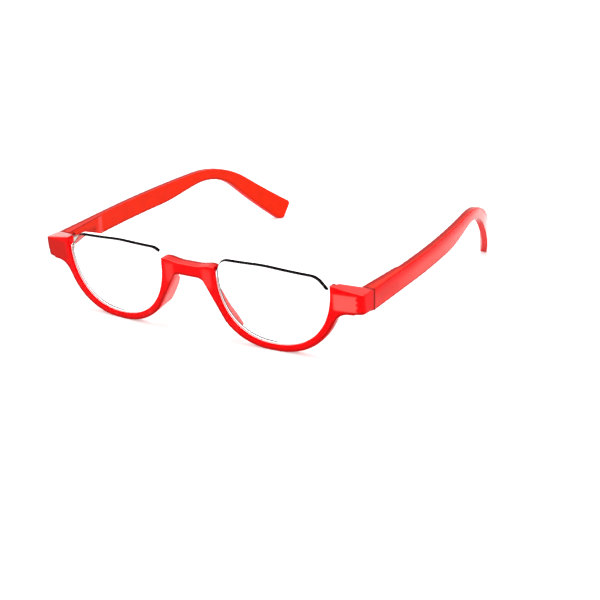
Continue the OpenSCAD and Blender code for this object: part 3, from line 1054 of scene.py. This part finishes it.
@dataclass
class Lens:
    """A half-moon lens with a bare, ground top edge."""

    side: Side
    turn: float = math.asin(33.8 / 500)  # the front bows at 500 mm; the lens is 33.8 mm out
    lean: float = math.radians(5.5)
    bevel_w: float = 0.48 * MM
    bevel_d: float = 0.7 * MM
    back_bevel_w: float = 0.45 * MM
    near_back: float = 0.1 * MM
    nasal_z: float = 24.6 * MM
    temporal_z: float = 25.9 * MM
    under_split: float = 0.02 * MM

    @property
    def axis(self) -> Vector:
        """Direction through the lens, front to back."""
        across, back = -math.sin(self.turn) * self.side.value, math.cos(self.turn)
        return Vector((across, back * math.cos(self.lean), back * math.sin(self.lean)))

    @property
    def bare_up(self) -> tuple[float, float]:
        """How far the wall faces up at the dark line's ends in the photo, towards -X and +X."""
        return (0.1, 0.6) if self.side is Side.LEFT else (0.1, 0.72)

    @property
    def bare_z(self) -> tuple[float, float]:
        """Height where the bare edge ends, towards -X and +X, a hair under the split there."""
        ends = (self.nasal_z, self.temporal_z - self.under_split)
        return ends if self.side is Side.LEFT else ends[::-1]

    def lies(self, normal: Vector) -> int:
        """Sort a face by its normal: -1 front, 0 wall, 1 back."""
        along = normal.dot(self.axis)
        return 0 if abs(along) < 0.5 else int(math.copysign(1, along))

    def cut_corner(
        self,
        piece: bpy.types.Object,
        face: int,
        lowest: tuple[float, float],
        least_up: tuple[float, float],
        width: float,
        deeper: float,
    ) -> None:
        """Cut a bevel along the edge between the wall and the front or back face.

        Args:
            piece: The lens.
            face: -1 for the front face, 1 for the back.
            lowest: Height above which the edge is cut, where the wall turns to -X and to +X.
            least_up: How far the wall must face up there.
            width: Width of the bevel.
            deeper: How much further the bevel reaches over the wall.
        """
        only(piece)
        mesh = piece.data
        meets: dict[tuple[int, int], set[int]] = {}
        upward: dict[tuple[int, int], bool] = {}
        floor: dict[tuple[int, int], float] = {}
        for polygon in mesh.polygons:
            lies = self.lies(polygon.normal)
            for key in polygon.edge_keys:
                meets.setdefault(key, set()).add(lies)
                if lies == 0:
                    way = 0 if polygon.normal.x < 0 else 1
                    upward[key] = polygon.normal.z > least_up[way]
                    floor[key] = lowest[way]
        for part in (mesh.polygons, mesh.edges, mesh.vertices):
            for item in part:
                item.select = False
        chosen = 0
        outermost = max(face * point.co.dot(self.axis) for point in mesh.vertices)
        for edge in mesh.edges:
            ends = [mesh.vertices[i].co for i in edge.vertices]
            bare = upward.get(edge.key, False)
            bare = bare and min(end.z for end in ends) > floor[edge.key]
            if face > 0:
                shallow = min(end.dot(self.axis) for end in ends)
                bare = bare and shallow > outermost - self.near_back
            if meets.get(edge.key) == {0, face} and bare:
                edge.select = True
                chosen += 1
        bpy.ops.object.mode_set(mode="EDIT")
        bpy.ops.mesh.select_mode(type="EDGE")
        bpy.ops.mesh.bevel(
            offset=width,
            segments=1,
            affect="EDGES",
            clamp_overlap=False,
            loop_slide=False,
            material=LensFace.BEVEL.value,
        )
        bpy.ops.object.mode_set(mode="OBJECT")
        if deeper:
            corners: dict[int, set[int]] = {kind.value: set() for kind in LensFace}
            for polygon in mesh.polygons:
                corners[polygon.material_index].update(polygon.vertices)
            shared = corners[LensFace.WALL.value] & corners[LensFace.BEVEL.value]
            shared -= corners[LensFace.POLISHED.value]
            for i in range(len(mesh.vertices)):
                mesh.vertices[i].select = i in shared
            for part in (mesh.polygons, mesh.edges):
                for item in part:
                    item.select = False
            bpy.ops.object.mode_set(mode="EDIT")
            bpy.ops.mesh.select_mode(type="VERT")
            bpy.ops.transform.translate(value=self.axis * (-face * deeper))
            bpy.ops.object.mode_set(mode="OBJECT")
        log.info("%s: %d edges ground on face %d", piece.name, chosen, face)

    def build(
        self, node: bpy.types.Object, finishes: dict[LensFace, bpy.types.Material]
    ) -> bpy.types.Object:
        """Make the lens from its CAD node.

        Args:
            node: CAD node of this lens.
            finishes: Material of each kind of face.

        Returns:
            The finished piece.
        """
        piece = merged_copy(node, f"ground_lens_{self.side.word}")
        for kind in LensFace:
            piece.data.materials.append(finishes[kind])
        for polygon in piece.data.polygons:
            wall = self.lies(polygon.normal) == 0
            kind = LensFace.WALL if wall else LensFace.POLISHED
            polygon.material_index = kind.value
            polygon.select = wall
        only(piece)
        bpy.context.tool_settings.mesh_select_mode = (False, False, True)
        bpy.ops.object.mode_set(mode="EDIT")
        bpy.ops.mesh.dissolve_limited(angle_limit=math.radians(0.5))
        bpy.ops.mesh.select_all(action="SELECT")
        bpy.ops.mesh.bisect(plane_co=(0, 0, self.temporal_z), plane_no=(0, 0, 1))
        bpy.ops.object.mode_set(mode="OBJECT")
        self.cut_corner(piece, 1, (-1.0, -1.0), (-2.0, 2.0), self.back_bevel_w, 0.0)
        self.cut_corner(piece, -1, self.bare_z, self.bare_up, self.bevel_w, self.bevel_d)
        only(piece)
        bpy.ops.object.shade_smooth_by_angle(angle=CUT_ANGLE)
        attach(piece, "front")
        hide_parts(f"lens_{self.side.word}")
        log.info("%s: %d faces", piece.name, len(piece.data.polygons))
        return piece


@dataclass
class Spring:
    """A coil spring in its housing, carried with the temple."""

    side: Side
    bush_y: float = -53.1 * MM
    travel: float = 1.2 * MM

    def build(self, node: bpy.types.Object, finish: bpy.types.Material) -> bpy.types.Object:
        """Make the spring from its CAD node.

        Args:
            node: CAD node of the spring.
            finish: Hinge metal.

        Returns:
            The finished piece.
        """
        piece = merged_copy(node, f"coil_spring_{self.side.word}")
        bpy.ops.object.shade_smooth_by_angle(angle=COIL_ANGLE)
        piece.data.materials.append(finish)
        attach(piece, f"arm_{self.side.word}")
        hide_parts(f"hinge_spring_{self.side.word}")
        length = max(vertex.co.y for vertex in piece.data.vertices) - self.bush_y
        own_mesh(piece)
        log.info("%s: %.2f mm long at rest", piece.name, length / MM)
        return piece


# Studio


@dataclass
class Studio:
    """Pale floor, soft lamps and the camera at the photograph's angle."""

    azimuth: float = 31.62
    elevation: float = 19.87
    roll: float = -0.95
    place: tuple[float, float, float] = (300.07, -478.62, 196.54)
    focal: float = 91.11
    shift: tuple[float, float] = (-0.01083, -0.0045)
    sky: float = 0.98
    white: str = "#ffffff"
    paper: str = "#efefef"
    paper_glow: float = 0.3
    floor_w: float = 8.0
    floor_z: float = -0.02 * MM

    def camera(self) -> None:
        """Set the camera up."""
        turn, rise, tilt = (math.radians(v) for v in (self.azimuth, self.elevation, self.roll))
        level = math.cos(rise)
        back = Vector((math.sin(turn) * level, -math.cos(turn) * level, math.sin(rise)))
        right = Vector((math.cos(turn), math.sin(turn), 0))
        up = back.cross(right)
        across = right * math.cos(tilt) + up * math.sin(tilt)
        upward = up * math.cos(tilt) - right * math.sin(tilt)
        data = bpy.data.cameras.new("view")
        data.lens = self.focal
        data.sensor_width = 36
        data.shift_x, data.shift_y = self.shift
        data.clip_start = 0.01
        view = bpy.data.objects.new("view", data)
        axes = Matrix((across, upward, back)).transposed()
        view.matrix_world = Matrix.Translation(Vector(self.place) * MM) @ axes.to_4x4()
        bpy.context.scene.collection.objects.link(view)
        bpy.context.scene.camera = view

    def seen_white(self, tree: bpy.types.NodeTree) -> bpy.types.NodeSocket:
        """Tell the rays that show the background from those that light the object.

        Args:
            tree: Node tree of the world or the floor.

        Returns:
            A socket that is 1 for camera, glossy and transmission rays.
        """
        ray = add_node(tree, "ShaderNodeLightPath")
        first = add_node(
            tree,
            "ShaderNodeMath",
            {"operation": "MAXIMUM"},
            {0: ray.outputs["Is Camera Ray"], 1: ray.outputs["Is Glossy Ray"]},
        )
        both = add_node(
            tree,
            "ShaderNodeMath",
            {"operation": "MAXIMUM"},
            {0: first.outputs[0], 1: ray.outputs["Is Transmission Ray"]},
        )
        return both.outputs[0]

    def world(self) -> None:
        """Light softly from all round, and show white behind."""
        world = bpy.data.worlds.new("studio")
        world.use_nodes = True
        tree = world.node_tree
        tree.nodes.clear()
        output = add_node(tree, "ShaderNodeOutputWorld")
        shown = self.seen_white(tree)
        colour = linear(self.white)
        light, white = (
            add_node(tree, "ShaderNodeBackground", inputs={"Color": colour, "Strength": strength})
            for strength in (self.sky, 1.0)
        )
        mix = add_node(
            tree,
            "ShaderNodeMixShader",
            inputs={0: shown, 1: light.outputs[0], 2: white.outputs[0]},
        )
        tree.links.new(mix.outputs[0], output.inputs["Surface"])
        bpy.context.scene.world = world

    def floor(self) -> None:
        """Lay the pale floor, which keeps the object's shadow."""
        bpy.ops.mesh.primitive_plane_add(size=self.floor_w, location=(0, 0, self.floor_z))
        floor = bpy.context.object
        floor.name = "floor"
        material, tree, output = new_material("Matt white paper")
        shown = self.seen_white(tree)
        glow = add_node(
            tree, "ShaderNodeMath", {"operation": "MULTIPLY"}, {0: shown, 1: self.paper_glow}
        )
        shader = add_node(
            tree,
            "ShaderNodeBsdfPrincipled",
            inputs={
                "Base Color": linear(self.paper),
                "Roughness": 0.9,
                "Specular IOR Level": 0.0,
                "Emission Color": linear(self.white),
                "Emission Strength": glow.outputs[0],
            },
        )
        tree.links.new(shader.outputs[0], output.inputs["Surface"])
        floor.data.materials.append(material)

    def lamp(self, name: str, place: tuple[float, float, float], size: float, power: float) -> None:
        """Hang one soft lamp that looks at the glasses.

        Args:
            name: Name of the lamp.
            place: Where it hangs, in metres.
            size: Width of its square face in metres.
            power: Power in watts.
        """
        data = bpy.data.lights.new(name, "AREA")
        data.size = size
        data.energy = power
        lamp = bpy.data.objects.new(name, data)
        lamp.location = place
        lamp.rotation_euler = (-Vector(place)).to_track_quat("-Z", "Y").to_euler()
        bpy.context.scene.collection.objects.link(lamp)

    def build(self) -> None:
        """Set up the whole studio."""
        bpy.context.scene.view_settings.view_transform = "Standard"
        self.camera()
        self.world()
        self.floor()
        self.lamp("overhead", (-0.1, 0.1, 1.4), 0.7, 6.0)
        self.lamp("side", (0.7, -1.2, 0.9), 0.8, 4.0)
        log.info("studio: camera, world, floor and lamps")


@dataclass
class Glasses:
    """The whole pair, built in order."""

    frame: dict[str, Any]
    bare_metal: tuple[str, ...] = (
        "hinge_anchor",
        "hinge_screw",
        "hinge_slider",
        "spring_housing",
        "guide_bush",
        "stop_nut",
    )

    def build(self) -> None:
        """Build each piece and dress the CAD nodes that stay."""
        nodes = self.frame["nodes"]
        plastic = ClearRedPlastic().make()
        lens_finishes = {
            LensFace.POLISHED: LensResin().make(),
            LensFace.WALL: GroundLensWall().make(),
            LensFace.BEVEL: GroundLensEdge().make(),
        }
        metal = HingeMetal().make()
        Front().build(nodes["front_frame"], plastic)
        for side in Side:
            Temple(side).build(nodes[f"temple_{side.word}"], plastic)
            Lens(side).build(nodes[f"lens_{side.word}"], lens_finishes)
            Spring(side).build(nodes[f"hinge_spring_{side.word}"], metal)
            for kind in self.bare_metal:
                node = nodes[f"{kind}_{side.word}"]
                node.data.materials.clear()
                node.data.materials.append(metal)
        log.info("all pieces built")


def main() -> None:
    """Load the frame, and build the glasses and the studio."""
    logging.basicConfig(level=logging.INFO, format="%(name)s: %(message)s")
    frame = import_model()
    Glasses(frame).build()
    Studio().build()


if __name__ == "__main__":
    main()
